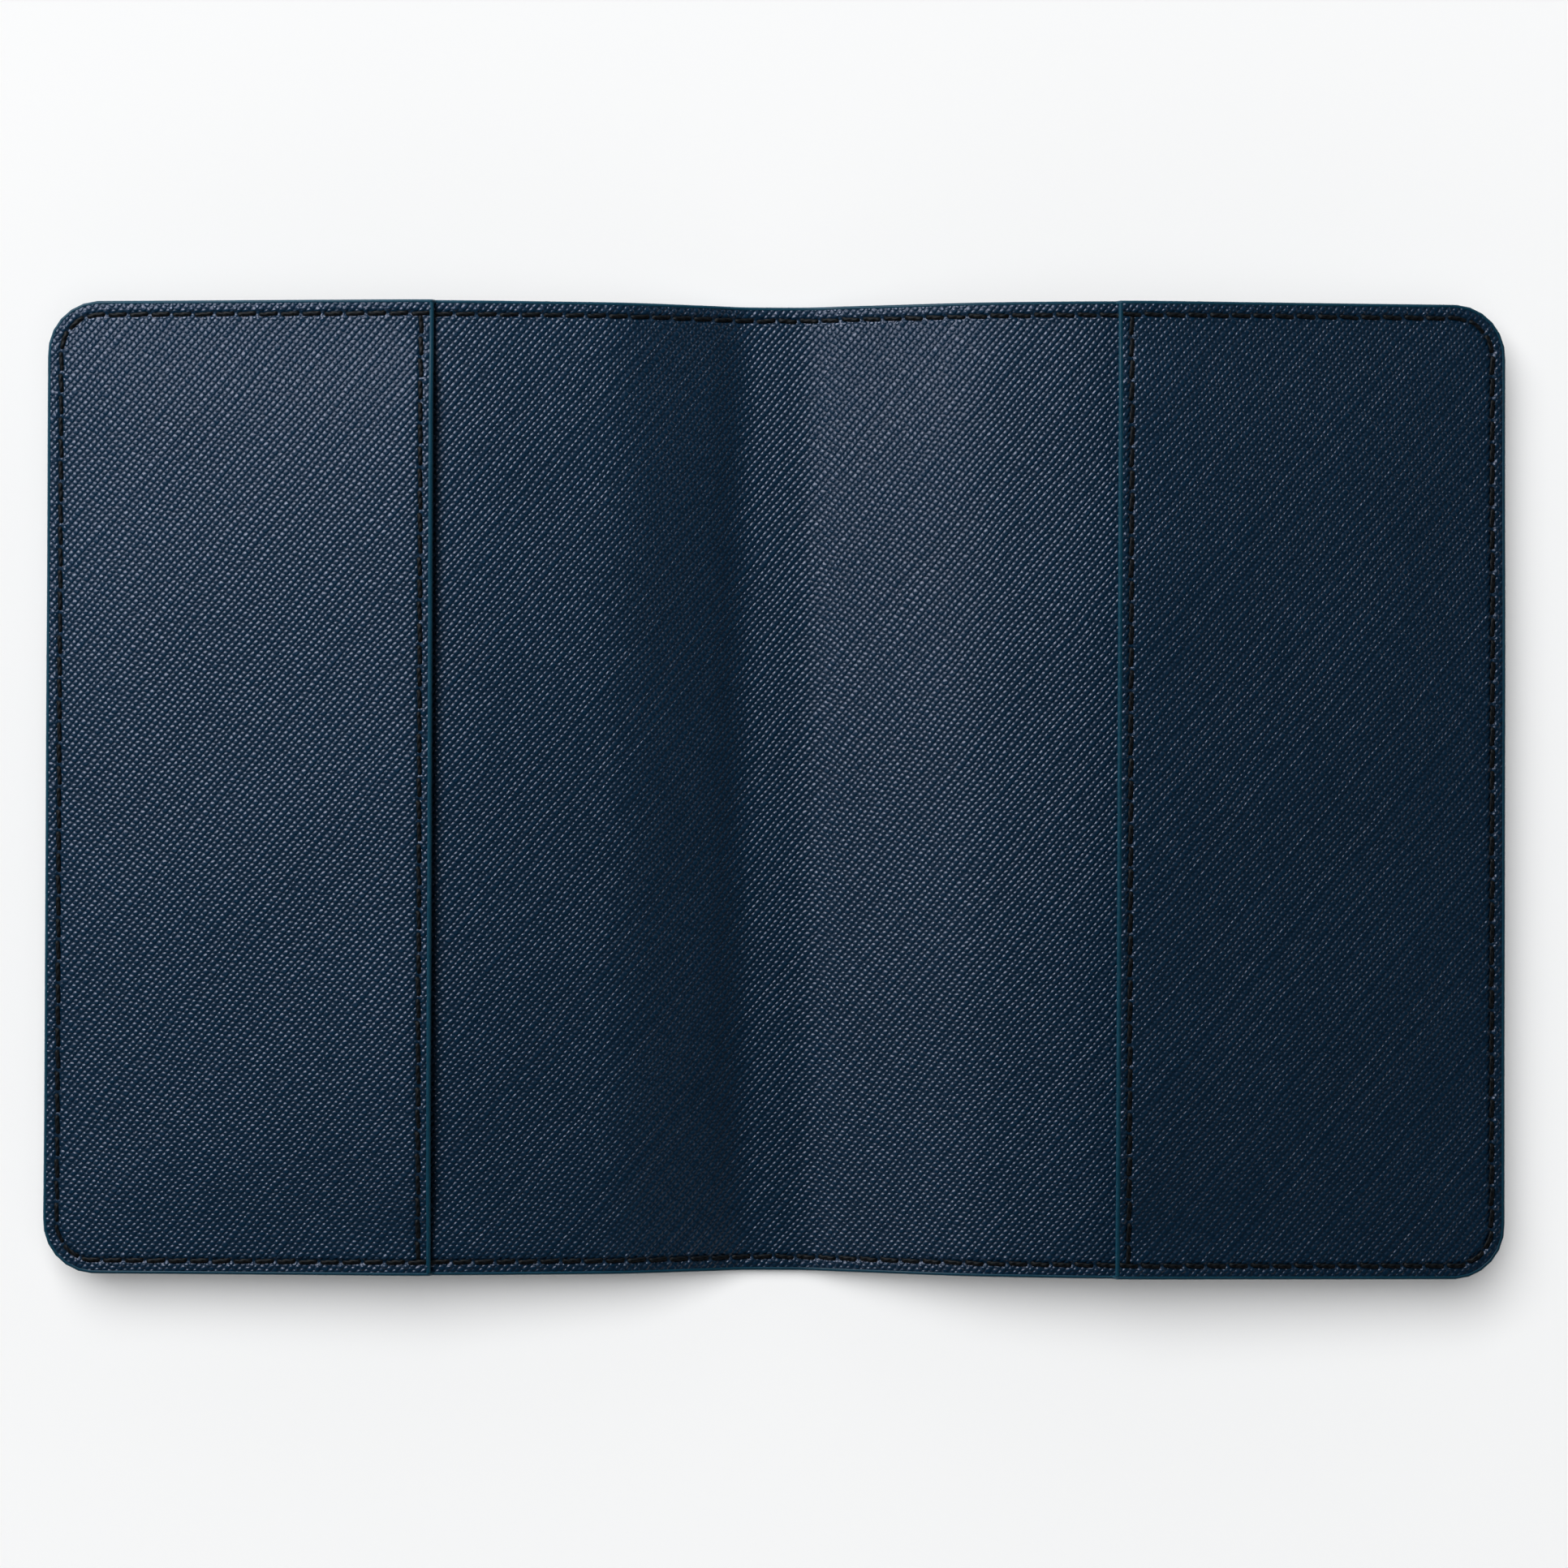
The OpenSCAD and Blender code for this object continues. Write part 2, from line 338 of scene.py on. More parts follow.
def triangulate(loop, inner):
    """Triangles over the closed loop of (s, y) points, using the inner points too."""
    points = [Vector(p) for p in loop] + [Vector(p) for p in inner]
    edges = [(i, (i + 1) % len(loop)) for i in range(len(loop))]
    found, _, faces, *_ = delaunay_2d_cdt(points, edges, [], 1, 1e-6)
    flat = np.array(found)
    a, b, c = (flat[[f[k] for f in faces]] for k in range(3))
    turn = (b - a)[:, 0] * (c - a)[:, 1] - (b - a)[:, 1] * (c - a)[:, 0]
    faces = [f if t > 0 else f[::-1] for f, t in zip(faces, turn) if abs(t) > 1e-9]
    return flat, faces


def sheet(name, side, loop, detail, plain, top, bottom, material, detail_below=False):
    """A closed sheet over the loop, with its detailed face above or below and the other one plain."""
    above_points, above_faces = triangulate(loop, plain if detail_below else detail)
    below_points, below_faces = triangulate(loop, detail if detail_below else plain)
    count, n = len(loop), len(above_points)
    flat = np.concatenate([above_points, below_points])
    s, y = side * flat[:, 0], flat[:, 1]
    h = np.concatenate([top(s[:n], y[:n]), bottom(s[n:], y[n:])])
    pressed = bump_at(inset(s, y), SEAM, PRESSED_HALF_W)
    faces = [list(f) for f in above_faces]
    faces += [[n + i for i in reversed(f)] for f in below_faces]
    area = sum(p[0] * q[1] - q[0] * p[1] for p, q in zip(loop, loop[1:] + loop[:1]))
    order = 1 if area > 0 else -1
    for i in range(count):
        j = (i + 1) % count
        faces.append([i, n + i, n + j, j][::order])
    if side < 0:
        faces = [f[::-1] for f in faces]
    return make_mesh(name, place(s, y, h), faces, np.stack([s, y, pressed], -1), material)


def loft(rings, flats, flip):
    """A closed tube through rings of points in mm, with capped ends; flip turns its faces round."""
    if flip:
        rings, flats = rings[:, ::-1], flats[:, ::-1]
    count, around = rings.shape[:2]
    index = np.arange(count * around).reshape(count, around)
    faces = []
    for i in range(count - 1):
        for j in range(around):
            k = (j + 1) % around
            faces.append([index[i, j], index[i, k], index[i + 1, k], index[i + 1, j]])
    faces += [index[0][::-1].tolist(), index[-1].tolist()]
    return rings.reshape(-1, 3), faces, flats.reshape(-1, 3)


def join(parts):
    """Several (points, faces, flats) as one."""
    points, faces, flats, start = [], [], [], 0
    for p, f, flat in parts:
        points.append(p)
        flats.append(flat)
        faces += [[start + int(i) for i in face] for face in f]
        start += len(p)
    return np.concatenate(points), faces, np.concatenate(flats)


# ---------------------------------------------------------------- points of the sheets' meshes

# Insets of the detailed rings: close together at the painted edge and across the seam
FINE_INSETS = [PAINT_T, 0.38, 0.5, 0.7, 0.95, 1.18, 1.38, 1.56, 1.72, 1.86, 2.0,
               2.14, 2.28, 2.44, 2.62, 2.85, 3.2, 3.7, 4.5]
PLAIN_INSETS = [PAINT_T, 3.0]
BOARD_INSETS = [0.7, 3.0]
BACKING_INSETS = [5.2, 6.2]

# Distances of the detailed lines from the pocket leather's edge at the mouth
MOUTH_LINES = [0.1, 0.25, 0.45, 0.68, 0.88, 1.06, 1.22, 1.36, 1.5, 1.64, 1.78, 1.94, 2.12, 2.32,
               2.6, 3.0, 3.5, 4.2]

# The coarse grid of the rest of a sheet, how far from the outline it stays, and the least distance
# between rings and lines that cross
COARSE = 2.1
GRID_INSET = 5.6
CLEAR = 0.3
GRID_Y = np.arange(-int(HALF_Y / COARSE), int(HALF_Y / COARSE) + 1) * COARSE


def as_tuples(points):
    return [tuple(map(float, p)) for p in points]


def wing_points(s0, rings, lines=()):
    """Outline and inner points of a wing's outer part, from the straight cut at s0 outwards.
    lines are further distances from s0 where the sheet needs points close together."""
    first, last = rings[0], rings[-1]
    reach = max(lines, default=0) + CLEAR
    q = near_holes(0, STITCHES, PITCH)
    q = q[(q > s0 + reach) & (q < HALF_PATH - s0 - reach)]
    q = np.concatenate([s0 + np.array([0, *lines]), q])
    q = np.unique(np.round(np.concatenate([q, HALF_PATH - q]), 5))
    if len(lines):
        cut_y = near_holes(0, MOUTH_STITCHES, MOUTH_PITCH) - HALF_Y + SEAM
        cut_y = cut_y[np.abs(cut_y) < HALF_Y - last - CLEAR]
        start = s0 + reach + 1.0
    else:
        cut_y = GRID_Y[np.abs(GRID_Y) < HALF_Y - GRID_INSET]
        start = s0 + COARSE
    ends = np.array([HALF_Y - d for d in rings])
    cut = np.unique(np.round(np.concatenate([cut_y, ends, -ends]), 5))
    loop = [(s, y) for s, y in np.stack(path(q, first), -1)]
    loop += [(s0, y) for y in cut if abs(y) < HALF_Y - first - 1e-4]
    inner = [p for d in rings[1:] for p in np.stack(path(q[1:-1], d), -1)]
    inner += [(s0 + m, y) for m in lines for y in cut_y]
    for s in np.arange(start, HALF_S, COARSE):
        inner += [(s, y) for y in GRID_Y if inset(s, y) > GRID_INSET]
    return as_tuples(loop), as_tuples(inner)


def strip_points(rings):
    """Outline and inner points of a wing's inner part, from the middle of the spine to the cut."""
    s = near_holes(0, CUT_STITCH, PITCH)
    edge = [HALF_Y - d for d in rings]
    rows = [y for y in GRID_Y if abs(y) < HALF_Y - GRID_INSET] + edge + [-y for y in edge]
    rows = np.unique(np.round(rows, 5))
    top, low = rows[-1], rows[0]
    loop = [(x, top) for x in s] + [(s[-1], y) for y in rows[-2:0:-1]]
    loop += [(x, low) for x in s[::-1]] + [(s[0], y) for y in rows[1:-1]]
    inner = [(x, y) for x in s[1:-1] for y in rows[1:-1]]
    return as_tuples(loop), as_tuples(inner)


# ---------------------------------------------------------------- painted edges

# A bead's section as (distance from its face, height, anchor): anchor 0 counts the height from the
# bead's lower side and anchor 1 from its upper side. The dents are where two layers meet.
BEAD = [(0.52, -0.09, 1), (0.44, 0.0, 1), (0.32, 0.03, 1), (0.20, 0.01, 1), (0.09, -0.08, 1),
        (0.02, -0.24, 1), (0.0, -0.5, 1), (0.035, -0.82, 1),
        (0.045, 0.93, 0), (0.0, 0.66, 0), (0.0, 0.34, 0), (0.09, 0.12, 0), (0.24, 0.01, 0),
        (0.42, -0.005, 0), (0.66, 0.08, 0)]
MOUTH_BEAD = [(0.62, -0.06, 1), (0.5, 0.02, 1), (0.34, 0.045, 1), (0.17, 0.02, 1),
              (0.04, -0.08, 1), (0.0, -0.28, 1), (0.0, 0.26, 0), (0.05, 0.08, 0),
              (0.2, 0.0, 0), (0.4, 0.02, 0), (0.62, 0.1, 0)]
MOUTH_BEAD_END, MOUTH_BEAD_RINGS = 0.45, 270


def bead(section, along, upper, lower, spot, flip):
    """A painted edge as a loft; spot(across) gives s and y at a distance from the bead's face."""
    rings, flats = [], []
    for across, height, anchor in section:
        h = height + (upper if anchor else lower)
        rings.append(place(*spot(across), h))
        flats.append(np.stack([along, np.full(len(along), across), h], -1))
    return loft(np.stack(rings, 1), np.stack(flats, 1), flip)


def perimeter_bead(side, q):
    """The painted edge along q of the seam path."""

    def spot(across):
        s, y = path(q, across)
        return side * s, y

    top = stack_top(*path(q, SEAM))
    return bead(BEAD, q, top, np.zeros(len(q)), spot, side < 0)


def mouth_bead(side):
    """The painted edge of a pocket's mouth, over the leather and its backing."""
    y = np.linspace(-HALF_Y + MOUTH_BEAD_END, HALF_Y - MOUTH_BEAD_END, MOUTH_BEAD_RINGS)
    s = np.full(len(y), MOUTH_S)
    puff = pocket_puff(s, y)
    upper = POCKET_BASE + POCKET_T + puff
    lower = POCKET_BASE + puff - BACKING_T * smooth((HALF_Y - np.abs(y) - 4.0) / 3)
    return bead(MOUTH_BEAD, y, upper, lower, lambda across: (side * (s + across), y), side > 0)


# ---------------------------------------------------------------- stitches

# The thread's size, how far its plies stand out as a share of it, and how often they turn in one
# stitch; and the height of its middle on the inner face, on the outer face and inside the pockets
THREAD_HALF_W = 0.29
THREAD_HALF_H = 0.16
PLY_RIDGE, PLY_TURNS = 0.09, 1.3
NEEDLE_SEAT, BOBBIN_SEAT, POCKET_SEAT = -0.03, 0.21, 0.04

# A stitch's length in pitches, its crown, and where its ends start to dive into the holes and how
# deep they go
REACH, CROWN, DIVE_FROM, DIVE = 1.03, 0.04, 0.66, 0.50

# Its slant across the seam, and the unevenness of slant, place across and thickness
SLANT, SLANT_VARIES, LEAN_VARIES, SIZE_VARIES = 0.13, 0.03, 0.02, 0.05

RINGS, AROUND = 13, 8
random = np.random.default_rng(7)


def stitch(point, start, length, seat, up):
    """One stitch as a loft. point(t, across, h) gives a place t mm along the seam; seat is the
    height of the thread's middle, and up is 1 on the inner face and -1 on the outer one."""
    t = np.linspace(-0.5, 0.5, RINGS)
    end = np.abs(2 * t)
    dive = smooth((end - DIVE_FROM) / (1 - DIVE_FROM))
    slant = SLANT + SLANT_VARIES * random.standard_normal()
    lean = LEAN_VARIES * random.standard_normal()
    size = 1 + SIZE_VARIES * random.standard_normal()
    along_t = start + length * (0.5 + t * REACH)
    rings, flats = [], []
    for k in range(AROUND):
        a = 2 * math.pi * k / AROUND
        ply = 1 + PLY_RIDGE * np.cos(2 * (a - 2 * math.pi * PLY_TURNS * t))
        across = slant * 2 * t + lean + THREAD_HALF_W * size * ply * math.cos(a)
        rise = CROWN * (1 - end**2) - DIVE * dive + THREAD_HALF_H * ply * math.sin(a)
        rings.append(point(along_t, across, seat + up * rise))
        flats.append(np.stack([along_t, np.full(RINGS, a), np.zeros(RINGS)], -1))
    rings = np.stack(rings, 1)
    first, second, third = rings[0, 0], rings[0, 2], rings[0, 4]
    forward = rings[1].mean(0) - rings[0].mean(0)
    inside_out = np.cross(second - first, third - second) @ forward < 0
    return loft(rings, np.stack(flats, 1), inside_out)


def perimeter_stitches(side, first, last, face):
    """Stitches number first to last - 1 from the top edge's middle, on the inner or outer face."""
    inner = face == "inner"

    def point(t, across, h):
        s, y = path(t, SEAM + across)
        return place(side * s, y, h + (stack_top(s, y) if inner else 0))

    seat, up = (NEEDLE_SEAT, 1) if inner else (BOBBIN_SEAT, -1)
    return [stitch(point, k * PITCH, PITCH, seat, up) for k in range(first, last)]


def mouth_stitches(side, face):
    """The stitches along a pocket's mouth. Inside the pocket, the first and last two are left out,
    where the side seams close it, and the thread rises a little towards them."""
    inner = face == "inner"

    def point(t, across, h):
        s = np.full(np.shape(t), MOUTH_S + MOUTH_SEAM) + across
        if inner:
            level = POCKET_BASE + POCKET_T + pocket_puff(s, t)
        else:
            level = backing_bottom(s, t) + 0.02 + 0.2 * (1 - smooth((inset(s, t) - 3) / 3))
        return place(side * s, t, h + level)

    seat, up, left_out = (NEEDLE_SEAT, 1, 0) if inner else (POCKET_SEAT, -1, 2)
    return [stitch(point, -HALF_Y + SEAM + k * MOUTH_PITCH, MOUTH_PITCH, seat, up)
            for k in range(left_out, MOUTH_STITCHES - left_out)]


# ---------------------------------------------------------------- materials


class Graph:
    """A material's nodes, with short ways to make and join them."""

    def __init__(self, name):
        self.material = bpy.data.materials.new(name)
        self.material.use_nodes = True
        self.tree = self.material.node_tree
        self.tree.nodes.clear()
        output = self.tree.nodes.new("ShaderNodeOutputMaterial")
        self.shader = self.tree.nodes.new("ShaderNodeBsdfPrincipled")
        self.join(self.shader.outputs[0], output.inputs["Surface"])

    def join(self, source, target):
        self.tree.links.new(source, target)

    def feed(self, socket, value):
        if isinstance(value, bpy.types.NodeSocket):
            self.join(value, socket)
        else:
            socket.default_value = value

    def set(self, **inputs):
        for name, value in inputs.items():
            self.feed(self.shader.inputs[name.replace("_", " ")], value)

    def math(self, operation, a, b=0.0, c=0.0):
        node = self.tree.nodes.new("ShaderNodeMath")
        node.operation = operation
        for socket, value in zip(node.inputs, (a, b, c)):
            self.feed(socket, value)
        return node.outputs[0]

    def vector(self, operation, a, b=(0, 0, 0), c=(0, 0, 0)):
        node = self.tree.nodes.new("ShaderNodeVectorMath")
        node.operation = operation
        for socket, value in zip(node.inputs, (a, b, c)):
            self.feed(socket, value)
        return node.outputs["Value" if operation == "DOT_PRODUCT" else "Vector"]

    def spot(self, shift=(0, 0, 0)):
        """The flat place that make_mesh stored, moved by shift."""
        node = self.tree.nodes.new("ShaderNodeAttribute")
        node.attribute_name = "sheet"
        return self.vector("ADD", node.outputs["Vector"], shift)

    def third(self, vector):
        split = self.tree.nodes.new("ShaderNodeSeparateXYZ")
        self.join(vector, split.inputs[0])
        return split.outputs["Z"]

    def pair(self, x, y):
        both = self.tree.nodes.new("ShaderNodeCombineXYZ")
        self.feed(both.inputs[0], x)
        self.feed(both.inputs[1], y)
        return both.outputs[0]

    def noise(self, vector, scale, detail=2.0, roughness=0.5, colour=False):
        node = self.tree.nodes.new("ShaderNodeTexNoise")
        self.feed(node.inputs["Vector"], vector)
        node.inputs["Scale"].default_value = scale
        node.inputs["Detail"].default_value = detail
        node.inputs["Roughness"].default_value = roughness
        return node.outputs["Color" if colour else "Fac"]

    def chance(self, dimensions, socket, value):
        """A random number from 0 to 1 for each different value."""
        node = self.tree.nodes.new("ShaderNodeTexWhiteNoise")
        node.noise_dimensions = dimensions
        self.feed(node.inputs[socket], value)
        return node.outputs["Value"]

    def spread(self, value, low, high, to_low, to_high, kind="LINEAR"):
        node = self.tree.nodes.new("ShaderNodeMapRange")
        node.interpolation_type = kind
        for name, v in (("Value", value), ("From Min", low), ("From Max", high),
                        ("To Min", to_low), ("To Max", to_high)):
            self.feed(node.inputs[name], v)
        return node.outputs["Result"]

    def mix(self, factor, a, b):
        node = self.tree.nodes.new("ShaderNodeMix")
        node.data_type = "RGBA"
        self.feed(node.inputs["Factor"], factor)
        self.feed(node.inputs[6], a)
        self.feed(node.inputs[7], b)
        return node.outputs[2]

    def bump(self, height, depth_mm):
        node = self.tree.nodes.new("ShaderNodeBump")
        node.inputs["Strength"].default_value = 1.0
        node.inputs["Distance"].default_value = depth_mm * MM
        self.feed(node.inputs["Height"], height)
        self.join(node.outputs["Normal"], self.shader.inputs["Normal"])


def shade(colour, factor=1.0):
    """A colour made darker or lighter, as a node takes it."""
    return tuple(c * factor for c in colour) + (1,)


RIDGE_ANGLE, RIDGE_PITCH = math.radians(50), 0.78
CROSS_ANGLE, CROSS_PITCH = math.radians(144), 0.77
GRAIN_DEPTH = 0.115


def cross_grain(g, spot):
    """Height 0 to 1 of the pressed cross-grain: slanting rows of small round beads with flat tops.
    The rows wander slightly, and the beads differ in place, size and height."""
    drift = g.vector("SUBTRACT", g.noise(spot, 0.10, 1.0, colour=True), (0.5, 0.5, 0.5))
    spot = g.vector("MULTIPLY_ADD", drift, (0.6, 0.6, 0), spot)

    def count(angle, pitch, unevenness):
        across = (-math.sin(angle) / pitch, math.cos(angle) / pitch, 0)
        t = g.vector("DOT_PRODUCT", spot, across)
        return g.math("MULTIPLY_ADD", g.noise(t, 0.45, 0.0), unevenness, t)

    def from_middle(t):
        return g.math("MULTIPLY", g.math("PINGPONG", t, 0.5), 2.0)

    u = count(RIDGE_ANGLE, RIDGE_PITCH, 0.45)
    v = count(CROSS_ANGLE, CROSS_PITCH, 0.35)
    v = g.math("MULTIPLY_ADD", g.chance("1D", "W", g.math("ROUND", u)), 0.35, v)
    v = g.math("MULTIPLY_ADD", g.noise(spot, 1.1, 1.0), 0.5, v)
    cell = g.chance("2D", "Vector", g.pair(g.math("ROUND", u), g.math("ROUND", v)))
    size = g.math("MULTIPLY_ADD", cell, 0.3, 0.85)
    a = from_middle(u)
    b = g.math("MULTIPLY", from_middle(v), 0.9)
    reach = g.math("SQRT", g.math("ADD", g.math("MULTIPLY", a, a), g.math("MULTIPLY", b, b)))
    bead_height = g.spread(g.math("DIVIDE", reach, size), 0.3, 1.12, 1.0, 0.0, "SMOOTHSTEP")
    return g.math("MULTIPLY", bead_height, g.math("MULTIPLY_ADD", cell, 0.3, 0.7))


def leather(name, colour, shift):
    """Cross-grain leather. Its grain is flatter in a seam, where the sheet's third number is 1."""
    g = Graph(name)
    spot = g.spot(shift)
    grain = cross_grain(g, spot)
    fine = g.noise(spot, 5.0, 3.0, 0.6)
    cloud = g.noise(spot, 0.05, 3.0, 0.55)
    # Painted shade and highlight: the base colour is darker in the grain's grooves and lighter on the
    # beads' tops, mixed with a random cloudy tone of the leather itself.
    painted_grain_shade_and_tone = g.math("ADD", g.math("MULTIPLY", grain, 0.6), g.math("MULTIPLY", cloud, 0.4))
    grain = g.math("MULTIPLY", grain, g.math("MULTIPLY_ADD", g.third(spot), -0.6, 1.0))
    rough = g.math("SUBTRACT", 0.34, g.math("MULTIPLY", grain, 0.08))
    rough = g.math("ADD", rough, g.math("MULTIPLY", g.noise(spot, 0.4, 2.0), 0.06))
    g.set(Base_Color=g.mix(painted_grain_shade_and_tone, shade(colour, 0.7), shade(colour, 1.25)), Roughness=rough,
          Specular_Tint=(0.76, 0.80, 1.0, 1), Specular_IOR_Level=0.42)
    g.bump(g.math("ADD", grain, g.math("MULTIPLY", fine, 0.18)), GRAIN_DEPTH)
    return g.material


def edge_paint(name, colour):
    """Edge paint with streaks along the edge."""
    g = Graph(name)
    spot = g.spot()
    streak = g.noise(g.vector("MULTIPLY", spot, (0.35, 3.0, 3.0)), 1.0, 3.0)
    g.set(Base_Color=g.mix(streak, shade(colour, 0.6), shade(colour, 1.25)),
          Roughness=g.spread(streak, 0.3, 0.7, 0.36, 0.5), Specular_IOR_Level=0.15)
    g.bump(g.noise(spot, 1.6, 3.0), 0.03)
    return g.material


def thread(name, colour):
    """Twisted thread: the plies run round it at the same turn as stitch() gives its shape."""
    g = Graph(name)
    spot = g.spot()
    plies = g.vector("DOT_PRODUCT", spot, (2 * math.pi * PLY_TURNS / PITCH * 2, -2, 0))
    twist = g.math("MULTIPLY_ADD", g.math("SINE", plies), 0.5, 0.5)
    fibre = g.noise(g.vector("MULTIPLY", spot, (9.0, 2.0, 1.0)), 1.0, 3.0)
    # Painted shade and highlight: the colour is darker in the grooves between the plies and lighter
    # on their crowns.
    g.set(Base_Color=g.mix(twist, shade(colour, 0.5), shade(colour, 1.5)), Roughness=0.5,
          Specular_IOR_Level=0.10)
    g.bump(g.math("ADD", twist, g.math("MULTIPLY", fibre, 0.4)), 0.05)
    return g.material


def woven(name, colour):
    """Plain woven cloth."""
    g = Graph(name)
    spot = g.spot()
    warp = g.math("SINE", g.vector("DOT_PRODUCT", spot, (16, 0, 0)))
    weft = g.math("SINE", g.vector("DOT_PRODUCT", spot, (0, 16, 0)))
    cloth = g.math("MULTIPLY", warp, weft)
    # Painted shade: the cloth's colour is darker where the weave dips and lighter where it rises,
    # following its bump.
    g.set(Base_Color=g.mix(g.spread(cloth, -1, 1, 0, 1), shade(colour, 0.6), shade(colour)),
          Roughness=0.85)
    g.bump(cloth, 0.04)
    return g.material


def board(name, colour):
    """Stiffener board with visible fibres."""
    g = Graph(name)
    fibres = g.noise(g.spot(), 1.5, 4.0, 0.7)
    g.set(Base_Color=g.mix(fibres, shade(colour, 0.8), shade(colour)), Roughness=0.9)
    g.bump(fibres, 0.03)
    return g.material


NAVY = (0.0018, 0.0160, 0.0375)
TEAL = (0.0035, 0.040, 0.070)
BLUE_BLACK = (0.0030, 0.0042, 0.0056)
DARK_GREY = (0.03, 0.035, 0.045)
CARDBOARD = (0.45, 0.38, 0.28)
MATERIALS = {
    "cover_leather": leather("cover_leather", NAVY, (40, 7, 0)),
    "lining_leather": leather("lining_leather", NAVY, (0, 0, 0)),
    "pocket_leather": leather("pocket_leather", NAVY, (13, 31, 0)),
    "edge_paint": edge_paint("edge_paint", TEAL),
    "thread": thread("thread", BLUE_BLACK),
    "backing_fabric": woven("backing_fabric", DARK_GREY),
    "stiffener_board": board("stiffener_board", CARDBOARD),
}

# ---------------------------------------------------------------- pieces


def crest_blend(piece, side_name):
    """Bakes a piece's placement into its mesh; it does not bend the piece."""
    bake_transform(piece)


def fold_blend(piece, side_name):
    """Bakes a piece's placement into its mesh; it does not bend the piece."""
    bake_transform(piece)


def finish_piece(piece, blend, side_name, slot, *nodes):
    """Bakes a piece's placement and hides the CAD nodes that it stands for; slot is not used."""
    blend(piece, side_name)
    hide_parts(*nodes)


def solid(name, parts, slot):
    """One piece made of lofts."""
    points, faces, flats = join(parts)
    return make_mesh(name, points, faces, flats, MATERIALS[slot])


WING_FINE = wing_points(CUT_S, FINE_INSETS)
WING_PLAIN = wing_points(CUT_S, PLAIN_INSETS)
STRIP_FINE = strip_points(FINE_INSETS)
STRIP_PLAIN = strip_points(PLAIN_INSETS)
POCKET_FINE = wing_points(MOUTH_S + PAINT_T, FINE_INSETS, MOUTH_LINES)
BOARD = wing_points(2 * FOLD_S + 0.5, BOARD_INSETS)
BACKING = wing_points(MOUTH_S + 0.35, BACKING_INSETS)


def add_long_sheet(layer, side_name, slot, top, bottom, detail_below):
    """The outer cover's or the lining's half on one side, in two parts that meet at the cut."""
    side, material = SIDES[side_name], MATERIALS[slot]
    outer = sheet(f"{layer}_{side_name}_outer", side, *WING_FINE, WING_PLAIN[1], top, bottom,
                  material, detail_below)
    finish_piece(outer, crest_blend, side_name, slot, f"{layer}_{side_name}_flap")
    inner = sheet(f"{layer}_{side_name}_inner", side, *STRIP_FINE, STRIP_PLAIN[1], top, bottom,
                  material, detail_below)
    finish_piece(inner, fold_blend, side_name, slot,
                 f"{layer}_{side_name}_panel", f"{layer}_spine")


def add_stiffener(side_name):
    """The board between cover and lining, from beyond the fold."""
    slot = "stiffener_board"
    loop, inner = BOARD
    piece = sheet(f"stiffener_{side_name}", SIDES[side_name], loop, inner, inner,
                  board_top, board_bottom, MATERIALS[slot])
    finish_piece(piece, crest_blend, side_name, slot,
                 f"stiffener_{side_name}_panel", f"stiffener_{side_name}_flap")


def add_pocket(side_name):
    slot = "pocket_leather"
    piece = sheet(f"pocket_{side_name}", SIDES[side_name], *POCKET_FINE, [],
                  pocket_top, pocket_bottom, MATERIALS[slot])
    finish_piece(piece, crest_blend, side_name, slot, f"pocket_{side_name}")


def add_backing(side_name):
    """The fabric on the pocket's inner face."""
    slot = "backing_fabric"
    loop, inner = BACKING
    piece = sheet(f"pocket_backing_{side_name}", SIDES[side_name], loop, inner, inner,
                  backing_top, backing_bottom, MATERIALS[slot])
    finish_piece(piece, crest_blend, side_name, slot, f"pocket_backing_{side_name}")


def add_painted_edges(side_name):
    """The perimeter's painted edge, cut like the long sheets, and the one at the pocket's mouth."""
    side, slot = SIDES[side_name], "edge_paint"
    q = np.linspace(CUT_S, HALF_PATH - CUT_S, 2 * STITCHES)
    step_q = MOUTH_S + np.linspace(-0.5, 0.5, 9)
    q = np.unique(np.round(np.concatenate([q, step_q, HALF_PATH - step_q]), 5))
    outer = solid(f"edge_paint_{side_name}_outer", [perimeter_bead(side, q)], slot)
    finish_piece(outer, crest_blend, side_name, slot, f"edge_paint_{side_name}_flap")
    q = np.linspace(0, CUT_S, 55)
    ends = [perimeter_bead(side, q), perimeter_bead(side, HALF_PATH - q[::-1])]
    inner = solid(f"edge_paint_{side_name}_inner", ends, slot)
    finish_piece(inner, fold_blend, side_name, slot,
                 f"edge_paint_{side_name}_panel", "edge_paint_spine")
    mouth = solid(f"mouth_paint_{side_name}", [mouth_bead(side)], slot)
    finish_piece(mouth, crest_blend, side_name, slot, f"mouth_paint_{side_name}")


def add_threads(side_name, label, face):
    """One face's stitches on one side: the perimeter's, cut like the long sheets, and the mouth's."""
    side, slot = SIDES[side_name], "thread"
    first, last = CUT_STITCH, STITCHES - CUT_STITCH
    outer = solid(f"{label}_{side_name}_outer", perimeter_stitches(side, first, last, face), slot)
    finish_piece(outer, crest_blend, side_name, slot, f"{label}_{side_name}_flap")
    ends = (perimeter_stitches(side, 0, first, face)
            + perimeter_stitches(side, last, STITCHES, face))
    inner = solid(f"{label}_{side_name}_inner", ends, slot)
    finish_piece(inner, fold_blend, side_name, slot,
                 f"{label}_{side_name}_panel", f"{label}_spine")
    mouth = solid(f"mouth_{label}_{side_name}", mouth_stitches(side, face), slot)
    finish_piece(mouth, crest_blend, side_name, slot, f"mouth_{label}_{side_name}")


